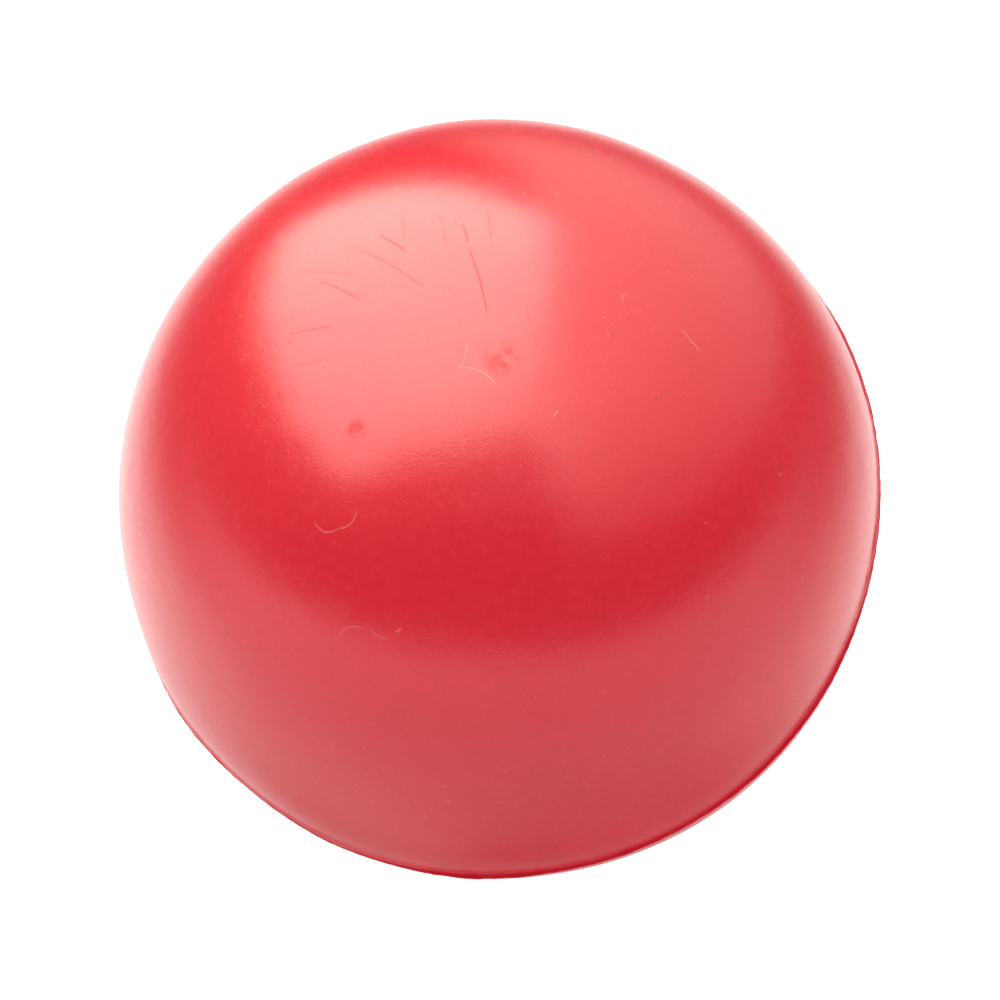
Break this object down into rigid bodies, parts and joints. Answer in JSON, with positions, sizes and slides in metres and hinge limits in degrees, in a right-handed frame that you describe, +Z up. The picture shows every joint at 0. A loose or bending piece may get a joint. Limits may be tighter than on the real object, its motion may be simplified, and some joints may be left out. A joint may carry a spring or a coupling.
{
  "type": "stress ball",
  "caption": "Soft foam squeeze ball, hand-sized, with a satin coloured film and a low parting bead right round its middle",
  "frame": {"origin": "lowest point of the ball, where it touches the table or palm, on the mould axis", "axes": "+Z up along the mould axis, square to the parting plane, so the parting bead lies level at half height; the ball is round about Z, so +X and +Y are free"},
  "size_m": [0.0708, 0.0708, 0.07],
  "materials": {
    "red_film": "satin red flexible polyurethane film with a fine orange peel, light scuffs and a little lint",
    "bead_film": "the same red film over a lumpy trimmed edge, deeper in colour",
    "dense_foam": "pale cream, closed polyurethane skin, out of sight",
    "soft_foam": "pale cream open-cell polyurethane foam, out of sight"
  },
  "bodies": {
    "lower_half": {"lower_coat": "red_film", "lower_skin": "dense_foam", "parting_bead": "bead_film", "foam_core": "soft_foam"},
    "upper_half": {"upper_coat": "red_film", "upper_skin": "dense_foam"}
  },
  "joints": [
    {"name": "squeeze", "type": "slide", "parent": "lower_half", "child": "upper_half", "axis": [0, 0, -1], "range_m": [0, 0.028], "stiffness_N_per_m": 2500, "deforming": ["foam_core", "lower_skin", "lower_coat", "parting_bead", "upper_skin", "upper_coat"]}
  ]
}
